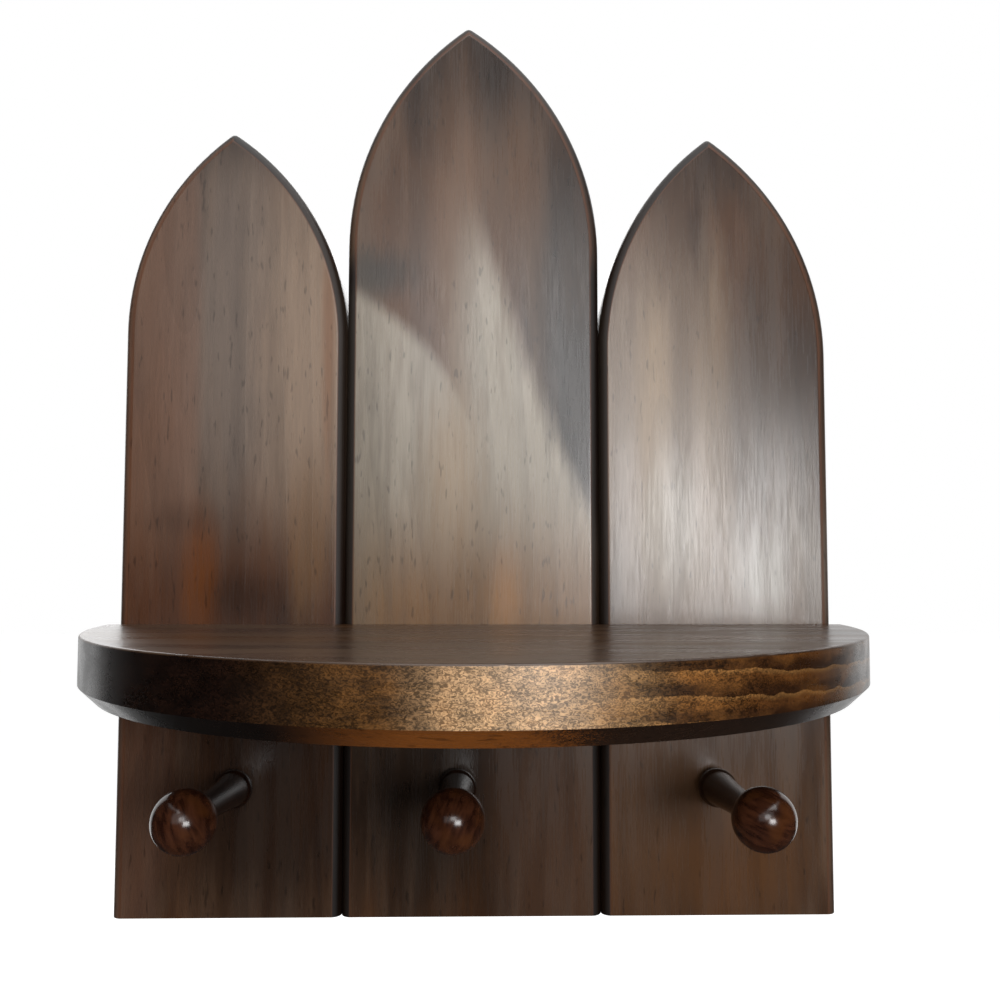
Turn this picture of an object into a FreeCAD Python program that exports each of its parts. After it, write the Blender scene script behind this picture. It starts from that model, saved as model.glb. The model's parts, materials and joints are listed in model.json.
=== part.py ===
import FreeCAD, Part
import math
import os

os.makedirs("parts", exist_ok=True)

# A half-round wall shelf on three pointed boards, with three turned pegs.
# Millimetres. The wall is the plane y = 0 and the shelf reaches towards -Y.
# +X runs to the right as seen from the room and +Z is up. The origin lies on
# the upper batten's back, midway between the two hanger plates.

# Boards, sawn to width from planed pine
board_thickness = 19.0
left_board_width = 77.5
center_board_width = 88.9
right_board_width = 81.0
left_board_height = 273.4
center_board_height = 313.4
right_board_height = 273.1
left_arch_radius = 90.0
center_arch_radius = 99.0
right_arch_radius = 97.0
left_point_offset = 2.3
center_point_offset = 2.0
right_point_offset = 0.8
board_roundover = 3.6
foot_roundover = 1.2

# Half-round shelf
shelf_radius = 127.0
shelf_thickness = 19.0
shelf_top_height = 99.0
shelf_underside_bevel = 4.6
shelf_top_arris = 0.7

# Turned pegs, raked a little upward
peg_exposed_length = 67.5
peg_head_diameter = 18.4
peg_neck_diameter = 8.0
peg_foot_diameter = 12.9
peg_tenon_diameter = 9.5
peg_tenon_clearance = 0.1
peg_hole_cover = 4.0
peg_hole_end_clearance = 1.0
peg_rake_degrees = 3.9
peg_height = 43.6
left_peg_offset = 2.6
center_peg_offset = -4.9
right_peg_offset = -1.2

# Shape of the turning: places as shares of the exposed length, sizes as shares of
# the foot's or head's radius, or of the step from the neck up to it
foot_back_size_share = 0.84
foot_widest_share = 0.04
foot_end_share = 0.10
foot_end_size_share = 0.89
taper_middle_share = 0.36
taper_middle_size_share = 0.24
neck_share = 0.66
cove_middle_share = 0.735
cove_middle_size_share = 0.24
head_back_size_share = 0.955

# Battens across the back
batten_thickness = 9.5
batten_width = 38.0
batten_end_inset = 9.0
batten_arris = 1.0
upper_batten_height = 186.0

# Countersunk screws through the upper batten into the boards
batten_screw_cover = 4.5
batten_screw_diameter = 3.5
batten_screw_head_diameter = 6.8
batten_screw_stagger = 19.0
hanger_to_screw_gap = 12.0

# Countersunk screws through the lower batten and the boards into the shelf
shelf_screw_bite = 31.5
shelf_screw_diameter = 4.2
shelf_screw_head_diameter = 8.2

# Both sorts of screw stand this far apart in the centre board
center_screw_spacing = 52.0

# Keyhole hanger plates, let into the upper batten
hanger_edge_distance = 39.7
hanger_width = 16.0
hanger_length = 33.0
hanger_thickness = 1.6
hanger_inset = 0.2
hanger_side_clearance = 0.2
hanger_entry_diameter = 9.5
hanger_entry_drop = 3.5
hanger_slot_width = 5.0
hanger_slot_rise = 4.8
hanger_pocket_cover = 2.5
hanger_pocket_margin = 0.6
hanger_screw_spacing = 25.2
hanger_screw_cover = 0.5
hanger_screw_diameter = 2.6
hanger_screw_head_diameter = 5.0

# Screws in general
screw_clearance = 0.1
countersink_half_angle_degrees = 45.0

# Working values
overrun = 2.0
edge_tolerance = 0.01

# Places that follow from the sizes
foot_z = -upper_batten_height
board_back_y = -batten_thickness
board_front_y = board_back_y - board_thickness
boards_width = left_board_width + center_board_width + right_board_width
boards_left_x = -boards_width / 2
left_joint_x = boards_left_x + left_board_width
right_joint_x = left_joint_x + center_board_width
left_board_x = boards_left_x + left_board_width / 2
center_board_x = left_joint_x + center_board_width / 2
right_board_x = right_joint_x + right_board_width / 2
left_peg_x = left_board_x + left_peg_offset
center_peg_x = center_board_x + center_peg_offset
right_peg_x = right_board_x + right_peg_offset
peg_z = foot_z + peg_height
shelf_top_z = foot_z + shelf_top_height
shelf_middle_z = shelf_top_z - shelf_thickness / 2
peg_hole_depth = board_thickness - peg_hole_cover
peg_tenon_length = peg_hole_depth - peg_hole_end_clearance
left_hanger_x = boards_left_x + hanger_edge_distance
right_hanger_x = -left_hanger_x
hanger_xs = [left_hanger_x, right_hanger_x]
hanger_pocket_depth = batten_thickness - hanger_pocket_cover
hanger_screw_length = batten_thickness - hanger_inset - hanger_screw_cover
batten_screw_length = batten_thickness + board_thickness - batten_screw_cover
shelf_screw_length = batten_thickness + board_thickness + shelf_screw_bite
side_screw_reach = hanger_width / 2 + hanger_to_screw_gap
center_screw_reach = center_screw_spacing / 2
batten_screw_pairs = [(left_hanger_x, side_screw_reach),
                      (center_board_x, center_screw_reach),
                      (right_hanger_x, side_screw_reach)]
shelf_screw_xs = [left_board_x,
                  center_board_x - center_screw_reach,
                  center_board_x + center_screw_reach,
                  right_board_x]


def point(x, y, z):
    return FreeCAD.Vector(x, y, z)


out_of_wall = point(0, -1, 0)
peg_rake = math.radians(peg_rake_degrees)
peg_direction = point(0, -math.cos(peg_rake), math.sin(peg_rake))


def arc(start, middle, end):
    return Part.Arc(start, middle, end).toShape()


def line(start, end):
    return Part.LineSegment(start, end).toShape()


def plate(edges, thickness):
    """A flat wire in the XZ plane, extruded away from the wall."""
    return Part.Face(Part.Wire(edges)).extrude(out_of_wall * thickness)


def bar(low, high):
    """A squared bar between two corners."""
    size = high - low
    return Part.makeBox(size.x, size.y, size.z, low)


def arch_side(foot_corner_x, sign, run, radius, top_z):
    """One flank of a pointed arch: its straight edge, its arc and where the arc starts.

    run is the distance across from the board's edge to the point."""
    rise = math.sqrt(radius ** 2 - (radius - run) ** 2)
    spring = point(foot_corner_x, board_back_y, top_z - rise)
    turn = math.asin(rise / radius) / 2
    middle = point(foot_corner_x + sign * radius * (1 - math.cos(turn)),
                   board_back_y,
                   spring.z + radius * math.sin(turn))
    tip = point(foot_corner_x + sign * run, board_back_y, top_z)
    foot = point(foot_corner_x, board_back_y, foot_z)
    return foot, spring, middle, tip


def blank_board(middle_x, width, height, radius, point_offset):
    """A board with its pointed arch, before any rounding or drilling."""
    top_z = foot_z + height
    left_foot, left_spring, left_middle, tip = arch_side(
        middle_x - width / 2, 1, width / 2 - point_offset, radius, top_z)
    right_foot, right_spring, right_middle, tip = arch_side(
        middle_x + width / 2, -1, width / 2 + point_offset, radius, top_z)
    edges = [line(left_foot, left_spring),
             arc(left_spring, left_middle, tip),
             arc(tip, right_middle, right_spring),
             line(right_spring, right_foot),
             line(right_foot, left_foot)]
    return plate(edges, board_thickness)


def on_plane(edge, axis, level):
    """Whether all of an edge lies at one level along x, y or z."""
    box = edge.BoundBox
    low = getattr(box, axis + "Min")
    high = getattr(box, axis + "Max")
    return abs(low - level) < edge_tolerance and abs(high - level) < edge_tolerance


def rounded_board(blank):
    """The front arris is rounded over on both flanks and along the arch, and eased at the foot."""
    front = [edge for edge in blank.Edges if on_plane(edge, "Y", board_front_y)]
    flanks = [edge for edge in front if not on_plane(edge, "Z", foot_z)]
    board = blank.makeFillet(board_roundover, flanks)
    foot = [edge for edge in board.Edges
            if on_plane(edge, "Y", board_front_y) and on_plane(edge, "Z", foot_z)]
    return board.makeFillet(foot_roundover, foot)


def turned(profile, start):
    """A solid of revolution about a line out of the wall, from (distance along, radius) corners."""
    corners = [point(radius, 0, along) for along, radius in profile]
    edges = [line(a, b) for a, b in zip(corners, corners[1:] + corners[:1])]
    solid = Part.Face(Part.Wire(edges)).revolve(point(0, 0, 0), point(0, 0, 1), 360)
    solid.Placement = FreeCAD.Placement(start, FreeCAD.Rotation(point(0, 0, 1), out_of_wall))
    return solid


def head_depth(head_radius, radius):
    return (head_radius - radius) / math.tan(math.radians(countersink_half_angle_degrees))


def screw(start, length, diameter, head_diameter):
    """A countersunk screw, without its thread. Its head's flat top is at the start."""
    radius = diameter / 2
    head_radius = head_diameter / 2
    return turned([(0, 0), (0, head_radius), (head_depth(head_radius, radius), radius),
                   (length, radius), (length, 0)], start)


def screw_hole(start, length, diameter, head_diameter):
    """The drilled hole that a screw fills, with its countersink open to the back."""
    radius = diameter / 2 + screw_clearance
    head_radius = head_diameter / 2 + screw_clearance
    end = length + screw_clearance
    return turned([(-overrun, 0), (-overrun, head_radius), (0, head_radius),
                   (head_depth(head_radius, radius), radius), (end, radius), (end, 0)], start)


def batten_screw_places():
    """Two screws in each board, one below and one above the batten's middle."""
    places = []
    for middle_x, reach in batten_screw_pairs:
        for side in (-1, 1):
            places.append(point(middle_x + side * reach, 0, side * batten_screw_stagger / 2))
    return places


def shelf_screw_places():
    """One screw in each side board and two in the centre board, level with the shelf's middle."""
    return [point(x, 0, shelf_middle_z) for x in shelf_screw_xs]


def hanger_screw_places():
    places = []
    for x in hanger_xs:
        for side in (-1, 1):
            places.append(point(x, -hanger_inset, side * hanger_screw_spacing / 2))
    return places


def batten_screws():
    return [screw(place, batten_screw_length, batten_screw_diameter, batten_screw_head_diameter)
            for place in batten_screw_places()]


def shelf_screws():
    return [screw(place, shelf_screw_length, shelf_screw_diameter, shelf_screw_head_diameter)
            for place in shelf_screw_places()]


def hanger_screws():
    return [screw(place, hanger_screw_length, hanger_screw_diameter, hanger_screw_head_diameter)
            for place in hanger_screw_places()]


def batten_screw_holes():
    return [screw_hole(place, batten_screw_length, batten_screw_diameter, batten_screw_head_diameter)
            for place in batten_screw_places()]


def shelf_screw_holes():
    return [screw_hole(place, shelf_screw_length, shelf_screw_diameter, shelf_screw_head_diameter)
            for place in shelf_screw_places()]


def hanger_screw_holes():
    return [screw_hole(place, hanger_screw_length, hanger_screw_diameter, hanger_screw_head_diameter)
            for place in hanger_screw_places()]


def peg_seat(x):
    """Where a peg's axis leaves the board, far enough out that its foot clears the face."""
    tilt_gap = peg_foot_diameter / 2 * foot_back_size_share * math.sin(peg_rake)
    return point(x, board_front_y - tilt_gap, peg_z)


def peg_hole(x):
    """The raked blind hole for a peg's tenon, open at the board's face."""
    radius = peg_tenon_diameter / 2 + peg_tenon_clearance
    bottom = peg_seat(x) - peg_direction * peg_hole_depth
    return Part.makeCylinder(radius, peg_hole_depth + overrun, bottom, peg_direction)


def board(middle_x, width, height, radius, point_offset, peg_x):
    """One pointed board, rounded over, with its peg hole and screw holes."""
    solid = rounded_board(blank_board(middle_x, width, height, radius, point_offset))
    holes = batten_screw_holes() + shelf_screw_holes() + hanger_screw_holes()
    near = [hole for hole in holes if abs(hole.BoundBox.Center.x - middle_x) < width / 2]
    return solid.cut(near + [peg_hole(peg_x)])


def shelf():
    """A half disc, bevelled along the underside of its curved edge and drilled for its screws."""
    left = point(-shelf_radius, board_front_y, shelf_top_z)
    front = point(0, board_front_y - shelf_radius, shelf_top_z)
    right = point(shelf_radius, board_front_y, shelf_top_z)
    outline = Part.Face(Part.Wire([arc(left, front, right), line(right, left)]))
    solid = outline.extrude(point(0, 0, -shelf_thickness))
    underside_z = shelf_top_z - shelf_thickness
    lower_rim = [edge for edge in solid.Edges
                 if on_plane(edge, "Z", underside_z) and not on_plane(edge, "Y", board_front_y)]
    solid = solid.makeChamfer(shelf_underside_bevel, lower_rim)
    upper_rim = [edge for edge in solid.Edges
                 if on_plane(edge, "Z", shelf_top_z) and not on_plane(edge, "Y", board_front_y)]
    solid = solid.makeChamfer(shelf_top_arris, upper_rim)
    return solid.cut(shelf_screw_holes())


def peg_section():
    """Half of a peg's section: tenon, swelled foot, long taper, cove and ball-fronted head."""
    foot_radius = peg_foot_diameter / 2
    neck_radius = peg_neck_diameter / 2
    head_radius = peg_head_diameter / 2
    tenon_radius = peg_tenon_diameter / 2
    swell = foot_radius - neck_radius
    flare = head_radius - neck_radius
    ball_middle = peg_exposed_length - head_radius
    back_radius = head_radius * head_back_size_share
    back_along = ball_middle - math.sqrt(head_radius ** 2 - back_radius ** 2)
    shoulder_turn = math.radians(45)

    def at(share, radius):
        return point(radius, 0, share * peg_exposed_length)

    head_front = point(0, 0, peg_exposed_length)
    tenon_end = point(0, 0, -peg_tenon_length)
    tenon_edge = point(tenon_radius, 0, -peg_tenon_length)
    tenon_root = point(tenon_radius, 0, 0)
    foot_back = point(foot_radius * foot_back_size_share, 0, 0)
    foot_widest = at(foot_widest_share, foot_radius)
    foot_end = at(foot_end_share, foot_radius * foot_end_size_share)
    taper_middle = at(taper_middle_share, neck_radius + swell * taper_middle_size_share)
    neck = at(neck_share, neck_radius)
    cove_middle = at(cove_middle_share, neck_radius + flare * cove_middle_size_share)
    head_back = point(back_radius, 0, back_along)
    head_shoulder = point(head_radius * math.sin(shoulder_turn), 0,
                          ball_middle + head_radius * math.cos(shoulder_turn))
    return [line(head_front, tenon_end),
            line(tenon_end, tenon_edge),
            line(tenon_edge, tenon_root),
            line(tenon_root, foot_back),
            arc(foot_back, foot_widest, foot_end),
            arc(foot_end, taper_middle, neck),
            arc(neck, cove_middle, head_back),
            arc(head_back, head_shoulder, head_front)]


def peg(x):
    """A turned peg, set square in its raked hole."""
    solid = Part.Face(Part.Wire(peg_section())).revolve(point(0, 0, 0), point(0, 0, 1), 360)
    solid.Placement = FreeCAD.Placement(peg_seat(x), FreeCAD.Rotation(point(0, 0, 1), peg_direction))
    return solid


def blank_batten(batten_z):
    """A plain batten with its long back arrises taken off."""
    low = point(boards_left_x + batten_end_inset, board_back_y, batten_z - batten_width / 2)
    high = point(boards_left_x + boards_width - batten_end_inset, 0, batten_z + batten_width / 2)
    solid = bar(low, high)
    back = [edge for edge in solid.Edges if on_plane(edge, "Y", 0)]
    return solid.makeChamfer(batten_arris, back)


def stadium(x, low_z, high_z, radius, back_y, depth):
    """A slot with round ends, standing upright and cut away from the wall."""
    low = point(x, back_y, low_z + radius)
    high = point(x, back_y, high_z - radius)
    side = point(radius, 0, 0)
    edges = [arc(low - side, low - point(0, 0, radius), low + side),
             line(low + side, high + side),
             arc(high + side, high + point(0, 0, radius), high - side),
             line(high - side, low - side)]
    return plate(edges, depth)


def hanger_recess(x):
    """The shallow bed of a hanger plate and the deeper pocket for a wall screw's head."""
    bed_radius = hanger_width / 2 + hanger_side_clearance
    bed_reach = hanger_length / 2 + hanger_side_clearance
    bed_depth = hanger_inset + hanger_thickness
    bed = stadium(x, -bed_reach, bed_reach, bed_radius, overrun, overrun + bed_depth)
    pocket_radius = hanger_entry_diameter / 2 + hanger_pocket_margin
    pocket_low = -hanger_entry_drop - pocket_radius
    pocket_high = hanger_slot_rise + pocket_radius
    pocket = stadium(x, pocket_low, pocket_high, pocket_radius, overrun, overrun + hanger_pocket_depth)
    return bed.fuse(pocket)


def upper_batten():
    cuts = batten_screw_holes() + hanger_screw_holes()
    for x in hanger_xs:
        cuts.append(hanger_recess(x))
    return blank_batten(0).cut(cuts)


def lower_batten():
    return blank_batten(shelf_middle_z).cut(shelf_screw_holes())


def hanger(x):
    """A flat plate with a keyhole: a round entry below and a narrow slot above it."""
    reach = hanger_length / 2
    solid = stadium(x, -reach, reach, hanger_width / 2, -hanger_inset, hanger_thickness)
    entry_radius = hanger_entry_diameter / 2
    slot_radius = hanger_slot_width / 2
    through = hanger_thickness + 2 * overrun
    entry_place = point(x, overrun - hanger_inset, -hanger_entry_drop)
    entry = Part.makeCylinder(entry_radius, through, entry_place, out_of_wall)
    slot = stadium(x, -hanger_entry_drop, hanger_slot_rise + slot_radius, slot_radius,
                   overrun - hanger_inset, through)
    return solid.cut([entry, slot] + hanger_screw_holes())


nodes = {
    "board_left": [board(left_board_x, left_board_width, left_board_height,
                         left_arch_radius, left_point_offset, left_peg_x)],
    "board_center": [board(center_board_x, center_board_width, center_board_height,
                           center_arch_radius, center_point_offset, center_peg_x)],
    "board_right": [board(right_board_x, right_board_width, right_board_height,
                          right_arch_radius, right_point_offset, right_peg_x)],
    "shelf": [shelf()],
    "peg_left": [peg(left_peg_x)],
    "peg_center": [peg(center_peg_x)],
    "peg_right": [peg(right_peg_x)],
    "upper_batten": [upper_batten()],
    "lower_batten": [lower_batten()],
    "batten_screws": batten_screws(),
    "shelf_screws": shelf_screws(),
    "hanger_left": [hanger(left_hanger_x)],
    "hanger_right": [hanger(right_hanger_x)],
    "hanger_screws": hanger_screws(),
}

for name, solids in nodes.items():
    shape = solids[0] if len(solids) == 1 else Part.makeCompound(solids)
    shape.exportStep("parts/" + name + ".step")
    print(name, len(shape.Solids), "solids, valid:", shape.isValid(), "volume:", round(shape.Volume))
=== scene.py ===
import json
import math

import bmesh
import bpy
from mathutils import Matrix, Vector


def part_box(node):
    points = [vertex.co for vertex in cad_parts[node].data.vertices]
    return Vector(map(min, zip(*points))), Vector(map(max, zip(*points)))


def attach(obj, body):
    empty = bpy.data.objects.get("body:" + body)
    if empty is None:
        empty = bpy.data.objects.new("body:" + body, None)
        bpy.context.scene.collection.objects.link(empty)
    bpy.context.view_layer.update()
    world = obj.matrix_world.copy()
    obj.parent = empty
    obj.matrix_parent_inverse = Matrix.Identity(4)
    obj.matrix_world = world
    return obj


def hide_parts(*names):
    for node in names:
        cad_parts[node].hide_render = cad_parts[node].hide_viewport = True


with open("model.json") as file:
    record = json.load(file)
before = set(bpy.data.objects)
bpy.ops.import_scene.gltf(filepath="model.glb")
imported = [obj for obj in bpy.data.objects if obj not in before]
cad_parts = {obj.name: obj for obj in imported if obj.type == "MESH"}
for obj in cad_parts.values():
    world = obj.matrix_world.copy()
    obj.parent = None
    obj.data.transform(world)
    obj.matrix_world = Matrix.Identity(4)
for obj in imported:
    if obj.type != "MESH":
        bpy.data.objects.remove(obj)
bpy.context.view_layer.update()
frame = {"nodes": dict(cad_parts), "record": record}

# Boards
# Three planed pine boards stand side by side, each sawn to a pointed arch. Their front
# arris is rounded over with a router and the foot only eased. Blind holes in the front
# take the pegs, and the screws of the battens bite into the back.
ARCH_RADII = {"left": 0.0900, "center": 0.0990, "right": 0.0970}
POINT_OFFSETS = {"left": 0.0023, "center": 0.0020, "right": 0.0008}
ARCH_STEPS = 28
BOARD_ROUNDOVER = 0.0036
FLANK_SEGMENTS = 8
FOOT_ROUNDOVER = 0.0012
FOOT_SEGMENTS = 3
TIP_ROUNDING = 0.0012
TIP_SEGMENTS = 4
BACK_EASING = 0.0004
BACK_SEGMENTS = 2
BATTEN_SCREW_PLACES = [(-0.1040, -0.0095), (-0.0640, 0.0095), (-0.02775, -0.0095),
                       (0.02425, 0.0095), (0.0640, -0.0095), (0.1040, 0.0095)]
BATTEN_SCREW_LENGTH = 0.0240
BATTEN_SCREW_DIAMETER = 0.0035
SHELF_SCREW_PLACES = [(-0.08495, -0.0965), (-0.02775, -0.0965), (0.02425, -0.0965), (0.0832, -0.0965)]
SHELF_SCREW_LENGTH = 0.0600
SHELF_SCREW_DIAMETER = 0.0042
HOLE_CLEARANCE = 0.0001
PEG_HOLE_RADIUS = 0.00485
PEG_HOLE_DEPTH = 0.0150
PEG_LENGTH = 0.0675
PEG_NECK_SHARE = 0.66
HOLE_SIDES = 40
HOLE_OVERRUN = 0.0020
WELD_DISTANCE = 0.00001
LEVEL_TOLERANCE = 0.00002
FLAT_FACE = 0.5
MITER_SHARE = 0.25
SMOOTH_ANGLE = math.radians(30)
INTO_BOARD = Vector((0, -1, 0))


def clear_selection():
    bpy.ops.object.select_all(action="DESELECT")


def open_piece(name):
    """Names the primitive that was just added, applies its place and opens it for editing."""
    piece = bpy.context.object
    piece.name = name
    piece.data.name = name
    bpy.ops.object.transform_apply(location=True, rotation=True, scale=True)
    bpy.ops.object.mode_set(mode="EDIT")
    return piece


def near(value, level):
    return abs(value - level) < LEVEL_TOLERANCE


def pick(piece, kind, wanted):
    """Selects the open piece's vertices, edges or faces whose corners all pass a test."""
    bpy.ops.mesh.select_mode(type=kind)
    bpy.ops.mesh.select_all(action="DESELECT")
    mesh = bmesh.from_edit_mesh(piece.data)
    parts = {"VERT": mesh.verts, "EDGE": mesh.edges, "FACE": mesh.faces}[kind]
    for part in parts:
        corners = [part] if kind == "VERT" else part.verts
        part.select = all(wanted(corner.co) for corner in corners)
    mesh.select_flush_mode()
    bmesh.update_edit_mesh(piece.data)


def weld():
    """Merges the open piece's doubles and turns its faces outwards."""
    bpy.ops.mesh.select_all(action="SELECT")
    bpy.ops.mesh.remove_doubles(threshold=WELD_DISTANCE)
    bpy.ops.mesh.normals_make_consistent(inside=False)


def apply_modifier(piece, kind, **settings):
    """Adds one modifier to a piece with its settings and applies it."""
    clear_selection()
    piece.select_set(True)
    bpy.context.view_layer.objects.active = piece
    modifier = piece.modifiers.new(kind.lower(), kind)
    for name, value in settings.items():
        setattr(modifier, name, value)
    bpy.ops.object.modifier_apply(modifier=modifier.name)


def smooth(piece):
    """Smooths a piece's shallow edges, with its large flat faces kept flat to the eye."""
    clear_selection()
    piece.select_set(True)
    bpy.context.view_layer.objects.active = piece
    bpy.ops.object.shade_smooth_by_angle(angle=SMOOTH_ANGLE)
    apply_modifier(piece, "WEIGHTED_NORMAL", keep_sharp=True)


def cut_away(piece, cutter):
    apply_modifier(piece, "BOOLEAN", operation="DIFFERENCE", solver="EXACT", object=cutter)
    bpy.data.objects.remove(cutter)


def drill(piece, mouth, direction, depth, radius):
    """A round hole that opens at a point on the piece's surface."""
    clear_selection()
    start = mouth - direction * HOLE_OVERRUN
    length = depth + HOLE_OVERRUN
    bpy.ops.mesh.primitive_cylinder_add(
        vertices=HOLE_SIDES, radius=radius, depth=length, location=start + direction * length / 2,
        rotation=direction.to_track_quat("Z", "Y").to_euler())
    bit = open_piece("bit")
    bpy.ops.object.mode_set(mode="OBJECT")
    cut_away(piece, bit)


def drop_inner_edges(piece, side):
    """Deselects edges that aren't on the rim of the open piece's back (1) or front (-1) face.

    An edge on the rim has that flat face on one side only.
    """
    mesh = bmesh.from_edit_mesh(piece.data)
    for edge in mesh.edges:
        if len({face.normal.y * side > FLAT_FACE for face in edge.link_faces}) == 1:
            edge.select = False
    bmesh.update_edit_mesh(piece.data)


def pointed_board(name, node, arch_radius, point_offset):
    """A rectangle with an arc spun from each shoulder to the point, then given its thickness."""
    low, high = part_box(node)
    width = high.x - low.x
    tip_x = low.x + width / 2 - point_offset
    left_rise = math.sqrt(arch_radius ** 2 - (low.x + arch_radius - tip_x) ** 2)
    right_rise = math.sqrt(arch_radius ** 2 - (tip_x - high.x + arch_radius) ** 2)
    left_shoulder = high.z - left_rise
    right_shoulder = high.z - right_rise
    clear_selection()
    bpy.ops.mesh.primitive_plane_add(
        size=1, rotation=(math.pi / 2, 0, 0),
        location=((low.x + high.x) / 2, high.y, (low.z + left_shoulder) / 2))
    bpy.context.object.scale = (width, left_shoulder - low.z, 1)
    board = open_piece(name)
    pick(board, "VERT", lambda co: near(co.x, high.x) and near(co.z, left_shoulder))
    bpy.ops.transform.translate(value=(0, 0, right_shoulder - left_shoulder))
    pick(board, "VERT", lambda co: near(co.x, low.x) and near(co.z, left_shoulder))
    bpy.ops.mesh.spin(steps=ARCH_STEPS, angle=math.asin(left_rise / arch_radius),
                      center=(low.x + arch_radius, high.y, left_shoulder), axis=(0, -1, 0))
    pick(board, "VERT", lambda co: near(co.x, high.x) and near(co.z, right_shoulder))
    bpy.ops.mesh.spin(steps=ARCH_STEPS, angle=math.asin(right_rise / arch_radius),
                      center=(high.x - arch_radius, high.y, right_shoulder), axis=(0, 1, 0))
    bpy.ops.mesh.select_all(action="SELECT")
    bpy.ops.mesh.remove_doubles(threshold=WELD_DISTANCE)
    shoulder = min(left_shoulder, right_shoulder) - LEVEL_TOLERANCE
    pick(board, "EDGE", lambda co: co.z > shoulder)
    bpy.ops.mesh.edge_face_add()
    bpy.ops.mesh.select_all(action="SELECT")
    bpy.ops.mesh.extrude_region_move(TRANSFORM_OT_translate={"value": (0, low.y - high.y, 0)})
    pick(board, "EDGE", lambda co: near(co.y, low.y))
    drop_inner_edges(board, -1)
    mesh = bmesh.from_edit_mesh(board.data)
    for edge in mesh.edges:
        if all(near(corner.co.z, low.z) for corner in edge.verts):
            edge.select = False
    bmesh.update_edit_mesh(board.data)
    bpy.ops.mesh.bevel(offset=BOARD_ROUNDOVER, segments=FLANK_SEGMENTS, affect="EDGES")
    pick(board, "EDGE", lambda co: near(co.z, low.z) and near(co.y, low.y))
    bpy.ops.mesh.bevel(offset=FOOT_ROUNDOVER, segments=FOOT_SEGMENTS, affect="EDGES")
    # The upright edge at the point runs from the back to where the two roundovers meet.
    tip_z = high.z - 2 * BOARD_ROUNDOVER
    miter_end = low.y + BOARD_ROUNDOVER * MITER_SHARE
    pick(board, "EDGE", lambda co: (abs(co.x - tip_x) < TIP_ROUNDING * MITER_SHARE
                                    and co.z > tip_z and co.y > miter_end))
    bpy.ops.mesh.bevel(offset=TIP_ROUNDING, segments=TIP_SEGMENTS, affect="EDGES", clamp_overlap=True)
    pick(board, "EDGE", lambda co: near(co.y, high.y))
    drop_inner_edges(board, 1)
    bpy.ops.mesh.bevel(offset=BACK_EASING, segments=BACK_SEGMENTS, affect="EDGES")
    weld()
    bpy.ops.object.mode_set(mode="OBJECT")
    return board


# A peg's seat lies back along the peg from the mount on its neck.
mounts = {mount["name"]: mount for mount in frame["record"]["mounts"]}
boards = {}
peg_seats = {}
for side, arch_radius in ARCH_RADII.items():
    node = "board_" + side
    board = pointed_board("pointed_board_" + side, node, arch_radius, POINT_OFFSETS[side])
    low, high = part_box(node)
    neck = mounts["peg_" + side + "_neck"]
    outward = Vector(neck["axis"]).normalized()
    seat = Vector(neck["pos_m"]) - outward * (PEG_LENGTH * PEG_NECK_SHARE)
    peg_seats[side] = (seat, outward)
    drill(board, seat, -outward, PEG_HOLE_DEPTH, PEG_HOLE_RADIUS)
    bites = [(x, z, BATTEN_SCREW_LENGTH, BATTEN_SCREW_DIAMETER) for x, z in BATTEN_SCREW_PLACES]
    bites += [(x, z, SHELF_SCREW_LENGTH, SHELF_SCREW_DIAMETER) for x, z in SHELF_SCREW_PLACES]
    for x, z, length, diameter in bites:
        if low.x < x < high.x:
            depth = length + high.y + HOLE_CLEARANCE
            drill(board, Vector((x, high.y, z)), INTO_BOARD, depth, diameter / 2 + HOLE_CLEARANCE)
    smooth(board)
    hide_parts(node)
    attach(board, "root")
    boards[side] = board


def linear(code):
    """A hex colour as the shader wants it, in linear light."""
    parts = [int(code[place:place + 2], 16) / 255 for place in (1, 3, 5)]
    return [part / 12.92 if part <= 0.04045 else ((part + 0.055) / 1.055) ** 2.4
            for part in parts] + [1]


def new_material(name):
    """A material with its node tree and its surface shader."""
    material = bpy.data.materials.new(name)
    material.use_nodes = True
    return material, material.node_tree, material.node_tree.nodes["Principled BSDF"]


def add(tree, kind, inputs=(), output=0, **settings):
    """Adds a node with its settings, fills or links its inputs, and returns one output.

    The inputs come in order, or by name or number where some are left as they are.
    """
    node = tree.nodes.new("ShaderNode" + kind)
    for name, value in settings.items():
        setattr(node, name, value)
    filled = inputs.items() if isinstance(inputs, dict) else enumerate(inputs)
    for place, value in filled:
        if isinstance(value, bpy.types.NodeSocket):
            tree.links.new(value, node.inputs[place])
        else:
            node.inputs[place].default_value = value
    return node.outputs[output]


# Where a mix of colours takes its share and its two colours, and where it gives the result
SHARE, UNDER, OVER, MIXED = 0, 6, 7, 2


def strength(tree, *factors):
    """The product of some factors.

    A factor is a number, another node's output, or a soft step: a value with its low and
    high ends and, unless they are nought and one, the strengths there.
    """
    product = None
    for factor in factors:
        if isinstance(factor, tuple):
            factor = add(tree, "MapRange", factor, interpolation_type="SMOOTHSTEP")
        product = factor if product is None else add(tree, "Math", (product, factor), operation="MULTIPLY")
    return product


def wash(tree, under, over, *factors):
    """Lays one colour over another, as strongly as the factors say."""
    return add(tree, "Mix", {SHARE: strength(tree, *factors), UNDER: under, OVER: over}, MIXED,
               data_type="RGBA")


def shaded(tree, colour, shade):
    """A colour made darker or lighter by a factor."""
    gray = add(tree, "CombineColor", (shade, shade, shade))
    return add(tree, "Mix", {SHARE: 1.0, UNDER: colour, OVER: gray}, MIXED,
               data_type="RGBA", blend_type="MULTIPLY")


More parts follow.
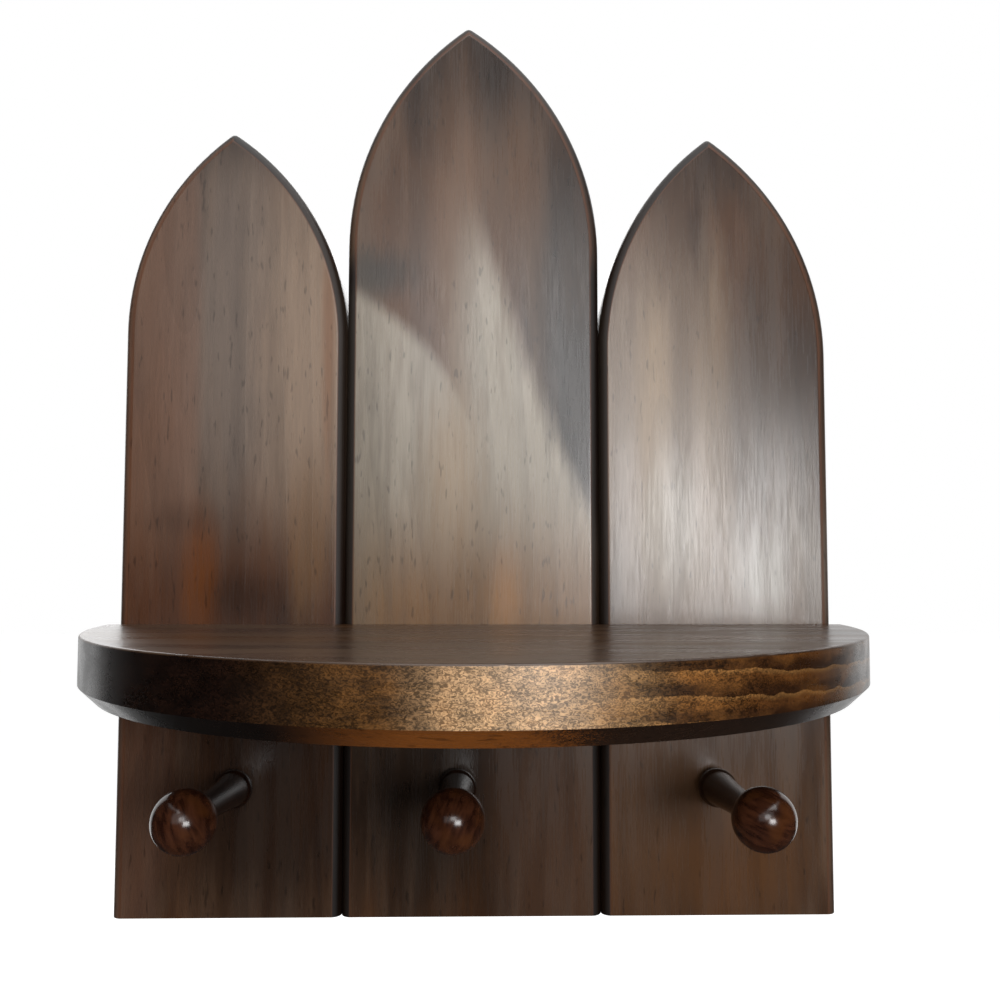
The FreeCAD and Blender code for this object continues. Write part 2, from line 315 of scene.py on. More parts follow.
# Pine growth rings are about 4 mm apart. The fibres of a planed face, about 0.2 mm wide,
# are drawn 0.6 mm wide, the finest that shows. A wave of scale 1 repeats every 0.314 m.
RING_GAP = 0.0042
FIBRE_WIDTH = 0.0006
FLECK_WIDTH = 0.0012
STREAK_WIDTH = 0.0028
BAND_WIDTH = 0.0095
BLOTCH_WIDTH = 0.0300
WARP_WIDTH = 0.0900
WARP_REACH = 0.0100
WAVE_TURN = 0.314
GRAIN_RELIEF = 0.0001
RELIEF_STRENGTH = 0.2
FIBRE_RELIEF_SHARE = 0.6
RING_RELIEF_SHARE = 0.4
ROUGHNESS_SPREAD = 0.05
VARNISH_IOR = 1.5


def stained_pine(name, tones, grain_turn, pith, seed, roughness, figure_and_light=None, dull_arris=False):
    """Pine whose soft early wood drank the walnut stain unevenly, under a satin varnish.

    tones are the stain's deepest, middle and palest colours and its orange one. A figure adds
    one piece's own tones and its painted sheen and painted shade, as colour over colour.
    """
    material, tree, shader = new_material(name)
    place = add(tree, "TexCoord", output="Object")
    outward = add(tree, "TexCoord", output="Normal")
    normal = {axis: add(tree, "SeparateXYZ", (outward,), axis) for axis in "XYZ"}
    turned = add(tree, "Mapping", {"Vector": place, "Rotation": grain_turn, "Location": pith})

    def grain(width, along, detail, shift, output="Fac"):
        """A random pattern of a real width, drawn out along the grain by a factor."""
        drawn = add(tree, "Mapping", {"Vector": turned, "Scale": (1, 1, 1 / along),
                                      "Location": (seed, shift, seed)})
        return add(tree, "TexNoise", {"Vector": drawn, "Scale": 1 / width, "Detail": detail}, output)

    drift = grain(WARP_WIDTH, 3.0, 1.0, 0.1, "Color")
    drift = add(tree, "VectorMath", (drift, (0.5, 0.5, 0.5)), operation="SUBTRACT")
    warped = add(tree, "VectorMath", (drift, (WARP_REACH * 2,) * 3, turned), operation="MULTIPLY_ADD")
    rings = add(tree, "TexWave", {"Vector": warped, "Scale": WAVE_TURN / RING_GAP}, "Fac",
                wave_type="RINGS", rings_direction="Z", wave_profile="SAW")
    late_wood = strength(tree, (rings, 0.35, 0.95))
    fibres = grain(FIBRE_WIDTH, 18.0, 3.0, 0.2)
    flecks = grain(FLECK_WIDTH, 5.0, 1.0, 0.7)
    streaks = grain(STREAK_WIDTH, 9.0, 2.0, 0.3)
    bands = grain(BAND_WIDTH, 8.0, 1.0, 0.6)
    blotches = grain(BLOTCH_WIDTH, 2.2, 3.0, 0.4)
    warmth = grain(BLOTCH_WIDTH, 3.0, 2.0, 0.5)

    deep, middle, pale, orange = [linear(tone) for tone in tones]
    colour = wash(tree, deep, middle, (blotches, 0.35, 0.60))
    colour = wash(tree, colour, pale, (bands, 0.42, 0.66, 0, 0.7))
    colour = wash(tree, colour, pale, (streaks, 0.45, 0.80, 0, 0.35))
    colour = wash(tree, colour, orange, (warmth, 0.47, 0.70, 0, 0.8))
    # A figure lays a piece's own tones and its painted sheen and shade over the colour
    if figure_and_light:
        colour = figure_and_light(tree, place, normal, streaks, colour)
    shade = strength(tree, (late_wood, 0, 1, 1.0, 0.90), (fibres, 0.30, 0.75, 1.06, 0.92),
                     (flecks, 0.64, 0.76, 1.0, 0.62))
    tree.links.new(shaded(tree, colour, shade), shader.inputs["Base Color"])
    uneven = add(tree, "Math", (fibres, bands), operation="ADD")
    rough = strength(tree, (uneven, 0.7, 1.3, roughness - ROUGHNESS_SPREAD, roughness + ROUGHNESS_SPREAD))
    if dull_arris:
        facing = add(tree, "Math", (normal["Y"],), operation="ABSOLUTE")
        dull = strength(tree, (facing, 0.985, 0.9999, 0.62, 0.10), (facing, 0.66, 0.88, 0.55, 1))
        rough = add(tree, "Math", (rough, dull), operation="MAXIMUM")
    tree.links.new(rough, shader.inputs["Roughness"])
    ridges = (strength(tree, fibres, FIBRE_RELIEF_SHARE), strength(tree, late_wood, RING_RELIEF_SHARE))
    relief = add(tree, "Math", ridges, operation="ADD")
    bump = add(tree, "Bump", {"Strength": RELIEF_STRENGTH, "Distance": GRAIN_RELIEF, "Height": relief})
    tree.links.new(bump, shader.inputs["Normal"])
    shader.inputs["IOR"].default_value = VARNISH_IOR
    return material


# How far a stroke's soft rim reaches inside and outside its oval, as shares of its softness
RIM_INSIDE = 0.5
RIM_OUTSIDE = 1.5


def smudge(tree, place, wobble, middle, size, softness, lean=0.0):
    """One inside an oval on a board's face and nought outside, with a soft, slightly ragged rim."""
    oval = add(tree, "Mapping", {"Vector": place, "Location": (-middle[0], 0, -middle[1])})
    oval = add(tree, "Mapping", {"Vector": oval, "Rotation": (0, lean, 0)})
    oval = add(tree, "VectorMath", (oval, (1 / size[0], 0, 1 / size[1])), operation="MULTIPLY")
    away = add(tree, "VectorMath", (oval,), "Value", operation="LENGTH")
    ragged = add(tree, "Math", (wobble, softness, away), operation="MULTIPLY_ADD")
    return strength(tree, (ragged, 1 - softness * RIM_INSIDE, 1 + softness * RIM_OUTSIDE, 1, 0))


def brushed(tree, place, wobble, colour, strokes):
    """Paints soft strokes over a colour, each with its share, its tone and its oval."""
    for share, tone, *oval in strokes:
        colour = wash(tree, colour, linear(tone), smudge(tree, place, wobble, *oval), share)
    return colour


def with_arrises(tree, normal, plain, painted, joint):
    """The painted colour on the front, the plain one on the back, and the rounded arrises.

    An arris is rubbed orange inside, partly a painted highlight, with dark pooled stain
    outside that is partly painted shade, widest in the groove at a joint.
    joint is one where a neighbour stands against the board and nought elsewhere. facing is
    one on the flat front and falls to nought as the arris turns aside.
    """
    colour = wash(tree, painted, plain, (normal["Y"], -0.1, 0.3))
    facing = add(tree, "Math", (normal["Y"],), operation="ABSOLUTE")
    # Rubbed orange along the arris, partly a painted highlight
    colour = wash(tree, colour, linear("#5a3115"), (facing, 0.90, 0.985), (facing, 0.990, 0.9995, 0.7, 0))
    # Dark pooled stain that is partly painted shade: narrow on the turned arrises, widest in the grooves at
    # a joint
    narrow = strength(tree, (facing, 0.66, 0.985, 0.94, 0), (normal["Z"], 0.02, 0.30, 0.35, 1))
    wide = strength(tree, joint, (facing, 0.965, 0.9995, 0.94, 0))
    pooled_stain_and_shade = add(tree, "Math", (narrow, wide), operation="MAXIMUM")
    return wash(tree, colour, linear("#120905"), pooled_stain_and_shade, (facing, 0.05, 0.55, 0.80, 1))


# A stroke is its share, its tone, its middle (x, z), its half width and half height, the
# softness of its rim and, where it leans, its turn.
#
# Left board: a painted gray sheen in the middle, the warm outer side, a painted sheen along
# the inner side with its orange line, painted shade on the crown, the flame at the foot with
# its blots, and painted shade on the end below the shelf.
LEFT_STROKES = [
    # A painted gray sheen across the middle
    (0.50, "#7c7067", (-0.083, 0.022), (0.022, 0.075), 0.7),
    (0.50, "#755645", (-0.120, 0.000), (0.0225, 0.200), 0.12),
    # A painted sheen along the inner side
    (0.80, "#937c68", (-0.057, 0.008), (0.017, 0.066), 0.9),
    (0.50, "#7c4a24", (-0.0525, 0.014), (0.0020, 0.040), 0.8),
    # Painted shade on the crown
    (0.70, "#23150d", (-0.083, 0.096), (0.040, 0.020), 0.7),
    (0.75, "#44230f", (-0.084, -0.090), (0.062, 0.034), 0.6),
    (0.60, "#6b3a14", (-0.096, -0.070), (0.006, 0.022), 0.6),
    (0.25, "#1c0e07", (-0.103, -0.051), (0.010, 0.005), 0.9),
    (0.55, "#1a0d06", (-0.082, -0.078), (0.009, 0.008), 0.9),
    (0.50, "#1a0d06", (-0.066, -0.084), (0.008, 0.012), 0.9),
    (0.60, "#705338", (-0.059, -0.058), (0.006, 0.026), 0.7),
    # The next two: painted shade on the end below the shelf
    (0.75, "#21130c", (-0.072, -0.146), (0.032, 0.040), 0.5),
    (0.35, "#3a2015", (-0.112, -0.150), (0.012, 0.040), 0.5),
]
# Centre board: painted shade on the crown and right side, two brown streaks under the point,
# the dark left shoulder, and the end, with painted shade on the left and brown on the right.
# The touches go over the painted reflections: a warm streak, the painted gray sheen on the
# left side, an orange flame and two small knots.
CENTER_STROKES = [
    # Painted shade on the crown, then on the right side beside the painted reflection
    (0.85, "#1e130d", (0.003, 0.117), (0.032, 0.029), 0.7),
    (0.70, "#1f1611", (0.036, 0.030), (0.016, 0.075), 0.5),
    (0.65, "#171210", (0.0350, -0.014), (0.0085, 0.034), 0.5),
    (0.55, "#7a5b45", (-0.008, 0.055), (0.009, 0.050), 0.8),
    (0.60, "#5d3f27", (0.014, 0.066), (0.008, 0.030), 0.8),
    (0.80, "#23221f", (-0.0365, 0.036), (0.012, 0.008), 0.8),
    # Painted shade on the end below the shelf, on the left
    (0.75, "#1f150d", (-0.014, -0.146), (0.030, 0.040), 0.6),
    (0.60, "#573c2b", (0.024, -0.156), (0.016, 0.036), 0.8),
]
CENTER_TOUCHES = [
    (0.45, "#a08465", (-0.009, -0.034), (0.009, 0.024), 0.9),
    (0.55, "#6a5f50", (-0.042, -0.040), (0.010, 0.060), 0.8),
    (0.42, "#9a6a3a", (0.010, -0.078), (0.005, 0.014), 0.9),
    (0.85, "#120d0a", (0.0320, -0.0128), (0.0011, 0.0014), 0.6),
    (0.70, "#1a1410", (0.0330, -0.0216), (0.0024, 0.0010), 0.7),
]
# Right board: painted shade on the crown and outer side, a leaning band of painted sheen
# with its streaks, short tongues of painted reflection, the dark streak above them and the warm foot.
RIGHT_STROKES = [
    # Painted shade on the crown and the outer side
    (0.65, "#22150d", (0.080, 0.092), (0.040, 0.026), 0.7),
    (0.45, "#2a1d14", (0.108, 0.010), (0.016, 0.070), 0.6),
    # A leaning band of painted sheen with its streaks
    (0.74, "#8f7e6e", (0.067, -0.028), (0.033, 0.066), 0.7, 0.30),
    (0.50, "#9c8468", (0.063, -0.020), (0.006, 0.046), 0.6),
    (0.55, "#5c4a3a", (0.072, -0.020), (0.004, 0.060), 0.6),
    (0.50, "#7f6a54", (0.084, -0.014), (0.006, 0.052), 0.6),
    # Short tongues of painted reflection
    (0.55, "#9d9488", (0.067, -0.054), (0.010, 0.022), 0.6),
    (0.55, "#a9a49d", (0.1010, -0.072), (0.008, 0.015), 0.7),
    (0.45, "#b0aca6", (0.0975, -0.068), (0.0022, 0.016), 0.7),
    (0.45, "#b0aca6", (0.1045, -0.070), (0.0020, 0.018), 0.7),
    (0.55, "#a09890", (0.0905, -0.062), (0.003, 0.018), 0.6),
    (0.40, "#8c8378", (0.1160, -0.068), (0.008, 0.020), 0.8),
    (0.55, "#2c1e15", (0.096, -0.018), (0.010, 0.036), 0.7),
    (0.60, "#4a3420", (0.080, -0.098), (0.050, 0.018), 0.4),
    (0.50, "#6a4a30", (0.070, -0.146), (0.042, 0.044), 0.8),
    (0.55, "#643f1f", (0.088, -0.166), (0.020, 0.018), 0.9),
]
# The outlines of the painted reflections, shaped as leaves: a round one on the left, and on
# the right what lies past a long curve and inside another
LEFT_REFLECTION = ((-0.0944, -0.0605), (0.1036, 0.1036), 0.035)
LONG_CURVE = ((0.5417, 0.1963), (0.5587, 0.5587), 0.008)
RIGHT_REFLECTION = ((0.2412, 0.0000), (0.2480, 0.6000), 0.04)


def left_figure_and_light(tree, place, normal, streaks, colour):
    """A painted gray sheen, warm down the outer side and painted sheen along the inner one, with a flame at
    the foot.
    """
    painted = brushed(tree, place, streaks, colour, LEFT_STROKES)
    return with_arrises(tree, normal, colour, painted, strength(tree, (normal["X"], 0.0, 0.05)))


def center_figure_and_light(tree, place, normal, streaks, colour):
    """Painted reflections in the shape of two leaves that cross, with painted shade on the crown and the
    right side.
    """
    painted = brushed(tree, place, streaks, colour, CENTER_STROKES)
    height = add(tree, "SeparateXYZ", (place,), "Z")
    left_reflection = smudge(tree, place, streaks, *LEFT_REFLECTION)
    right_reflection = smudge(tree, place, streaks, *RIGHT_REFLECTION)
    past_curve = add(tree, "Math", (1.0, smudge(tree, place, streaks, *LONG_CURVE)), operation="SUBTRACT")
    right_reflection = strength(tree, past_curve, right_reflection, (height, 0.020, 0.078, 1, 0))
    foot_tone_and_sheen = strength(tree, (height, -0.070, -0.046, 1, 0), 0.80)
    # The pale mask is painted reflection: the two leaves, and the foot band, which is also the wood's warmer
    # tone
    pale = add(tree, "Math", (strength(tree, left_reflection, 0.92), right_reflection), operation="MAXIMUM")
    pale = add(tree, "Math", (pale, foot_tone_and_sheen), operation="MAXIMUM")
    # The painted reflection's tone: gray above, warm brown low down
    tone = wash(tree, linear("#9a9082"), linear("#745639"), (height, -0.085, -0.030, 1, 0))
    painted = wash(tree, painted, tone, pale, (height, -0.100, -0.088), (streaks, 0.30, 0.62, 0.82, 1.05))
    painted = brushed(tree, place, streaks, painted, CENTER_TOUCHES)
    return with_arrises(tree, normal, colour, painted, strength(tree, (height, 0.034, 0.048, 1, 0)))


def right_figure_and_light(tree, place, normal, streaks, colour):
    """Bands of painted sheen that run up into brown ones, brightest low down in short tongues of painted
    reflection.
    """
    painted = brushed(tree, place, streaks, colour, RIGHT_STROKES)
    leftward = strength(tree, normal["X"], -1)
    return with_arrises(tree, normal, colour, painted, strength(tree, (leftward, 0.0, 0.05)))


BOARD_STAIN = ("#3a2619", "#4d3626", "#5f4a3a", "#553318")
BOARD_ROUGHNESS = 0.27
UPRIGHT = (0, 0, 0)
BOARD_WOODS = {
    "left": ((0.100, 0.085, 0), 0.31, left_figure_and_light),
    "center": ((0.010, 0.095, 0), 2.17, center_figure_and_light),
    "right": ((-0.070, 0.075, 0), 5.43, right_figure_and_light),
}
for side, (pith, seed, figure_and_light) in BOARD_WOODS.items():
    boards[side].data.materials.append(
        stained_pine("walnut_stained_pine_" + side, BOARD_STAIN, UPRIGHT, pith, seed, BOARD_ROUGHNESS,
                     figure_and_light, dull_arris=True))

# Shelf
# A half disc of the same pine with its grain along the wall, bevelled under its curved
# edge, with its top arris just broken. Four long screws hold it from behind.
SHELF_BEVEL = 0.0046
SHELF_ARRIS = 0.0007
SHELF_ARRIS_SEGMENTS = 3
SHELF_SIDES = 360
ALONG_WALL = (0, -math.pi / 2, 0)
low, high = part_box("shelf")
shelf_radius = high.y - low.y
clear_selection()
bpy.ops.mesh.primitive_cylinder_add(
    vertices=SHELF_SIDES, radius=shelf_radius, depth=high.z - low.z,
    location=((low.x + high.x) / 2, high.y, (low.z + high.z) / 2))
shelf = open_piece("half_round_shelf")
bpy.ops.mesh.select_all(action="SELECT")
bpy.ops.mesh.bisect(plane_co=(0, high.y, 0), plane_no=(0, 1, 0), use_fill=True, clear_outer=True)


def on_rim(level):
    """A test for points on the curved edge at one level."""
    middle = Vector((0, high.y))
    return lambda co: near(co.z, level) and near((co.xy - middle).length, shelf_radius)


pick(shelf, "EDGE", on_rim(low.z))
bpy.ops.mesh.bevel(offset=SHELF_BEVEL, segments=1, affect="EDGES")
pick(shelf, "EDGE", on_rim(high.z))
bpy.ops.mesh.bevel(offset=SHELF_ARRIS, segments=SHELF_ARRIS_SEGMENTS, affect="EDGES")
weld()
bpy.ops.object.mode_set(mode="OBJECT")
for x, z in SHELF_SCREW_PLACES:
    depth = SHELF_SCREW_LENGTH + high.y + HOLE_CLEARANCE
    drill(shelf, Vector((x, high.y, z)), INTO_BOARD, depth, SHELF_SCREW_DIAMETER / 2 + HOLE_CLEARANCE)
smooth(shelf)

# The saw left the curved edge's fibres standing. Where they catch the light, their golden fuzz
# is a painted sheen, drawn 0.8 mm wide where they were cut across, and they show the growth
# rings to the right. Each tone of the edge fades in from one place along the wall to another.
FUZZ_WIDTH = 0.0008
TUFT_WIDTH = 0.0060
RING_LINE_GAP = 0.0058
RING_LINE_LEAN = -0.05
# The gold is a painted sheen where the curved edge faces the lamps
EDGE_TONES = [(-0.060, -0.022, "#4f3419"), (-0.022, 0.002, "#b7936c"), (0.014, 0.034, "#866540"),
              (0.034, 0.050, "#6b4520"), (0.052, 0.070, "#553316"), (0.082, 0.104, "#4a3c30")]


def shelf_figure_and_light(tree, place, normal, streaks, colour):
    """A quiet top and underside, and a curved edge that runs from near black to a gold that is a painted
    sheen, to dark rings.
    """
    across = add(tree, "SeparateXYZ", (place,), "X")
    edge = linear("#170b06")
    for start, end, tone in EDGE_TONES:
        edge = wash(tree, edge, linear(tone), (across, start, end))
    leaning = add(tree, "Mapping", {"Vector": place, "Rotation": (0, RING_LINE_LEAN, 0)})
    lines = add(tree, "TexWave", {"Vector": leaning, "Scale": WAVE_TURN / RING_LINE_GAP, "Distortion": 1.6,
                                  "Detail": 3.0, "Detail Scale": 2.5}, "Fac",
                bands_direction="Z", wave_profile="SAW")
    edge = wash(tree, edge, linear("#8c663a"), (across, 0.034, 0.062), (lines, 0.74, 0.97), 0.45)
    edge = wash(tree, edge, linear("#1f1008"), (across, 0.022, 0.046), (lines, 0.25, 0.70, 0.75, 0))
    drawn = add(tree, "Mapping", {"Vector": place, "Scale": (0.7, 0.7, 1.2)})
    curls = add(tree, "TexNoise", {"Vector": drawn, "Scale": 1 / FUZZ_WIDTH, "Detail": 2.0,
                                   "Distortion": 1.8}, "Fac")
    tufts = add(tree, "TexNoise", {"Vector": drawn, "Scale": 1 / TUFT_WIDTH, "Detail": 2.0}, "Fac")
    fuzz = strength(tree, (curls, 0.36, 0.66, 0.40, 1.60), (tufts, 0.35, 0.65, 0.72, 1.25))
    calm = strength(tree, (across, 0.060, 0.085, 1, 0.25))
    fuzz = add(tree, "Math", (fuzz, 1.0), operation="SUBTRACT")
    fuzz = add(tree, "Math", (fuzz, calm, 1.0), operation="MULTIPLY_ADD")
    edge = shaded(tree, edge, fuzz)
    edge = wash(tree, edge, linear("#7a4f24"), (tufts, 0.45, 0.70, 0, 0.3), (across, -0.050, -0.010))
    bevel = wash(tree, linear("#150a05"), linear("#7e4718"), (across, -0.050, -0.010))
    mottled = add(tree, "Math", (fuzz, 0.010, across), operation="MULTIPLY_ADD")
    bevel = wash(tree, bevel, linear("#2a1a10"), (mottled, 0.014, 0.040))
    colour = wash(tree, colour, bevel, (normal["Z"], -0.30, -0.50))
    colour = wash(tree, colour, linear("#2b190f"), (normal["Z"], -0.80, -0.95))
    level = add(tree, "Math", (normal["Z"],), operation="ABSOLUTE")
    return wash(tree, colour, edge, (level, 0.12, 0.35, 1, 0))


SHELF_STAIN = ("#2a190e", "#38261a", "#493626", "#3f2711")
SHELF_ROUGHNESS = 0.30
SHELF_PITH = (0.050, 0.110, 0)
SHELF_SEED = 7.7
shelf.data.materials.append(
    stained_pine("walnut_stained_pine_shelf", SHELF_STAIN, ALONG_WALL, SHELF_PITH, SHELF_SEED,
                 SHELF_ROUGHNESS, shelf_figure_and_light))
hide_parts("shelf")
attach(shelf, "root")

# Pegs
# Three pegs turned from beech: a tenon, a swelled foot, a long taper to the neck and a
# round head. They are stained red-brown, dipped in gloss lacquer and glued in.
PEG_TENON_LENGTH = 0.0140
PEG_TENON_RADIUS = 0.00475
PEG_TENON_CHAMFER = 0.0006
PEG_FOOT_RADIUS = 0.00645
PEG_NECK_RADIUS = 0.0040
PEG_HEAD_RADIUS = 0.0092
PEG_SIDES = 72
ARC_POINTS = 14
# Places as shares of the peg's length, and sizes as shares of the foot's or head's radius
# or of the step from the neck up to it
FOOT_BACK_SIZE = 0.84
FOOT_WIDEST = 0.04
FOOT_END = 0.10
FOOT_END_SIZE = 0.89
TAPER_MIDDLE = 0.36
TAPER_MIDDLE_SIZE = 0.24
COVE_MIDDLE = 0.735
COVE_MIDDLE_SIZE = 0.24
HEAD_BACK_SIZE = 0.955


def bow(start, middle, end, count=ARC_POINTS):
    """Points of the circular arc through three (along, radius) points, without its first."""
    a, b, c = Vector(start), Vector(middle), Vector(end)
    first = b - a
    second = c - b
    cross = 2 * (first.x * second.y - first.y * second.x)
    reach = ((a.length_squared - b.length_squared) * second.y
             - (b.length_squared - c.length_squared) * first.y) / -cross
    rise = ((a.length_squared - b.length_squared) * second.x
            - (b.length_squared - c.length_squared) * first.x) / cross
    center = Vector((reach, rise))
    spoke = a - center
    angle = spoke.angle_signed(c - center)
    via = spoke.angle_signed(b - center)
    if via * angle < 0:
        angle -= math.copysign(2 * math.pi, angle)
    points = []
    for step in range(1, count + 1):
        turn = -angle * step / count
        points.append(center + Matrix.Rotation(turn, 2) @ spoke)
    return points


def turned_piece(name, outline, sides):
    """A lathe shape: an outline of (along, radius) points spun about +Z from the origin."""
    clear_selection()
    bpy.ops.mesh.primitive_plane_add(size=WELD_DISTANCE)
    piece = open_piece(name)
    bpy.ops.mesh.select_mode(type="VERT")
    bpy.ops.mesh.select_all(action="SELECT")
    bpy.ops.mesh.merge(type="CENTER")
    along, radius = outline[0]
    bpy.ops.transform.translate(value=(radius, 0, along))
    for next_along, next_radius in outline[1:]:
        bpy.ops.mesh.extrude_region_move(
            TRANSFORM_OT_translate={"value": (next_radius - radius, 0, next_along - along)})
        along, radius = next_along, next_radius
    bpy.ops.mesh.select_all(action="SELECT")
    bpy.ops.mesh.spin(steps=sides, angle=2 * math.pi, center=(0, 0, 0), axis=(0, 0, 1))
    weld()
    bpy.ops.object.mode_set(mode="OBJECT")
    return piece


def placed_copy(model, name, place, direction):
    """A copy with its own mesh, stood up along a direction at a place, and the place applied."""
    clear_selection()
    copy = bpy.data.objects.new(name, model.data.copy())
    copy.data.name = name
    bpy.context.scene.collection.objects.link(copy)
    turn = direction.to_track_quat("Z", "Y").to_matrix().to_4x4()
    copy.data.transform(Matrix.Translation(place) @ turn)
    return copy


swell = PEG_FOOT_RADIUS - PEG_NECK_RADIUS
flare = PEG_HEAD_RADIUS - PEG_NECK_RADIUS
ball_middle = PEG_LENGTH - PEG_HEAD_RADIUS
head_back_radius = PEG_HEAD_RADIUS * HEAD_BACK_SIZE
head_back = (ball_middle - math.sqrt(PEG_HEAD_RADIUS ** 2 - head_back_radius ** 2), head_back_radius)
foot_back = (0, PEG_FOOT_RADIUS * FOOT_BACK_SIZE)
foot_widest = (PEG_LENGTH * FOOT_WIDEST, PEG_FOOT_RADIUS)
foot_end = (PEG_LENGTH * FOOT_END, PEG_FOOT_RADIUS * FOOT_END_SIZE)
taper_middle = (PEG_LENGTH * TAPER_MIDDLE, PEG_NECK_RADIUS + swell * TAPER_MIDDLE_SIZE)
peg_neck = (PEG_LENGTH * PEG_NECK_SHARE, PEG_NECK_RADIUS)
cove_middle = (PEG_LENGTH * COVE_MIDDLE, PEG_NECK_RADIUS + flare * COVE_MIDDLE_SIZE)
shoulder = (ball_middle + PEG_HEAD_RADIUS * math.sqrt(0.5), PEG_HEAD_RADIUS * math.sqrt(0.5))
outline = [(-PEG_TENON_LENGTH, 0), (-PEG_TENON_LENGTH, PEG_TENON_RADIUS - PEG_TENON_CHAMFER),
           (-PEG_TENON_LENGTH + PEG_TENON_CHAMFER, PEG_TENON_RADIUS), (0, PEG_TENON_RADIUS), foot_back]
outline += bow(foot_back, foot_widest, foot_end)
outline += bow(foot_end, taper_middle, peg_neck)
outline += bow(peg_neck, cove_middle, head_back)
outline += bow(head_back, shoulder, (PEG_LENGTH, 0), 2 * ARC_POINTS)
peg_model = turned_piece("peg_model", outline, PEG_SIDES)

# Beech shows fine streaks about 1.5 mm apart and soft clouds of stain about as wide as the
# neck. The streaks of each peg lean by their own turn.
BEECH_STREAK_WIDTH = 0.0015
BEECH_CLOUD_WIDTH = 0.0080
LACQUER_ROUGHNESS = 0.18
PEG_LEANS = {"left": 1.9, "center": 1.2, "right": -0.45}
PEG_SEEDS = {"left": 1.3, "center": 2.0, "right": 2.7}


def lacquered_beech(name, lean, seed):
    """Beech stained red-brown under gloss lacquer: slanting streaks across the ball, sharp glints.

    Painted shade darkens it from the foot to the neck and fades out there.
    """
    material, tree, shader = new_material(name)
    place = add(tree, "TexCoord", output="Object")
    leaning = add(tree, "Mapping", {"Vector": place, "Rotation": (0, lean, 0), "Location": (seed, 0, seed)})
    drawn = add(tree, "Mapping", {"Vector": leaning, "Scale": (0.22, 0.35, 1)})
    streaks = add(tree, "TexNoise", {"Vector": drawn, "Scale": 1 / BEECH_STREAK_WIDTH, "Detail": 3.0,
                                     "Distortion": 0.4}, "Fac")
    clouds = add(tree, "TexNoise", {"Vector": leaning, "Scale": 1 / BEECH_CLOUD_WIDTH, "Detail": 1.0}, "Fac")
    depth = add(tree, "SeparateXYZ", (place,), "Y")
    colour = wash(tree, linear("#28120a"), linear("#4b2a1a"), (streaks, 0.30, 0.74))
    colour = wash(tree, colour, linear("#5a3317"), (clouds, 0.48, 0.72, 0, 0.45))
    # Painted shade from the foot to the neck, fading out towards the head
    colour = wash(tree, colour, linear("#0a0403"), (depth, -0.079, -0.064, 0, 0.75))
    tree.links.new(colour, shader.inputs["Base Color"])
    shader.inputs["Roughness"].default_value = LACQUER_ROUGHNESS
    shader.inputs["IOR"].default_value = VARNISH_IOR
    return material


for side, (seat, outward) in peg_seats.items():
    peg = placed_copy(peg_model, "turned_peg_" + side, seat, outward)
    smooth(peg)
    peg.data.materials.append(lacquered_beech("lacquered_beech_" + side, PEG_LEANS[side], PEG_SEEDS[side]))
    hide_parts("peg_" + side)
    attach(peg, "root")
bpy.data.objects.remove(peg_model)

# Battens
# Two planed pine battens across the back, stained like the boards and left matt. The upper
# one holds the hanger plates and is screwed to the boards. The lower one backs the shelf.
BATTEN_STAIN = ("#33221a", "#463224", "#584433", "#4d301c")
BATTEN_ROUGHNESS = 0.60
BATTEN_WOODS = {"upper_batten": ((0.020, 0.060, 0), 9.1), "lower_batten": ((0.055, 0.035, 0), 3.6)}
for node, (pith, seed) in BATTEN_WOODS.items():
    batten = frame["nodes"][node]
    batten.data.materials.clear()
    batten.data.materials.append(
        stained_pine("matt_stained_pine_" + node, BATTEN_STAIN, ALONG_WALL, pith, seed, BATTEN_ROUGHNESS))

# Hanger plates
# Two keyhole plates stamped from 1.6 mm sheet steel and zinc plated. They are let into
# the upper batten's back, each over a pocket for the head of the wall screw.
SPANGLE_WIDTH = 0.0030
SCRATCH_WIDTH = 0.00025
SCRATCH_RELIEF = 0.00005
SCRATCH_STRENGTH = 0.15


def zinc_plate(name, light, dark, seed):
    """Zinc on steel: satin metal with faint spangles and fine rolling scratches."""
    material, tree, shader = new_material(name)
    place = add(tree, "TexCoord", output="Object")
    shifted = add(tree, "Mapping", {"Vector": place, "Location": (seed, seed, seed)})
    spangles = add(tree, "TexVoronoi", {"Vector": shifted, "Scale": 1 / SPANGLE_WIDTH}, "Color")
    spangle = add(tree, "SeparateColor", (spangles,))
    rolled = add(tree, "Mapping", {"Vector": shifted, "Scale": (1, 1, 0.05)})
    scratches = add(tree, "TexNoise", {"Vector": rolled, "Scale": 1 / SCRATCH_WIDTH, "Detail": 2.0}, "Fac")
    scratched = strength(tree, (scratches, 0.3, 0.7, 0, 0.5))
    worn = add(tree, "Math", (spangle, 0.5, scratched), operation="MULTIPLY_ADD")
    tree.links.new(wash(tree, linear(light), linear(dark), worn), shader.inputs["Base Color"])
    tree.links.new(strength(tree, (worn, 0, 1, 0.30, 0.48)), shader.inputs["Roughness"])
    shader.inputs["Metallic"].default_value = 1.0
    bump = add(tree, "Bump", {"Strength": SCRATCH_STRENGTH, "Distance": SCRATCH_RELIEF, "Height": scratches})
    tree.links.new(bump, shader.inputs["Normal"])
    return material


bright_zinc = zinc_plate("bright_zinc_plated_steel", "#c9ccd0", "#8f9499", 2.0)
for node in ("hanger_left", "hanger_right"):
    plate = frame["nodes"][node]
    plate.data.materials.clear()
    plate.data.materials.append(bright_zinc)

# Screws
# Countersunk cross-recess wood screws: six through the upper batten, four long ones
# through the lower batten and the boards into the shelf, and four small ones in the plates.
SCREW_SIDES = 32
SCREW_GAP = 0.00003
HEAD_EDGE = 0.0002
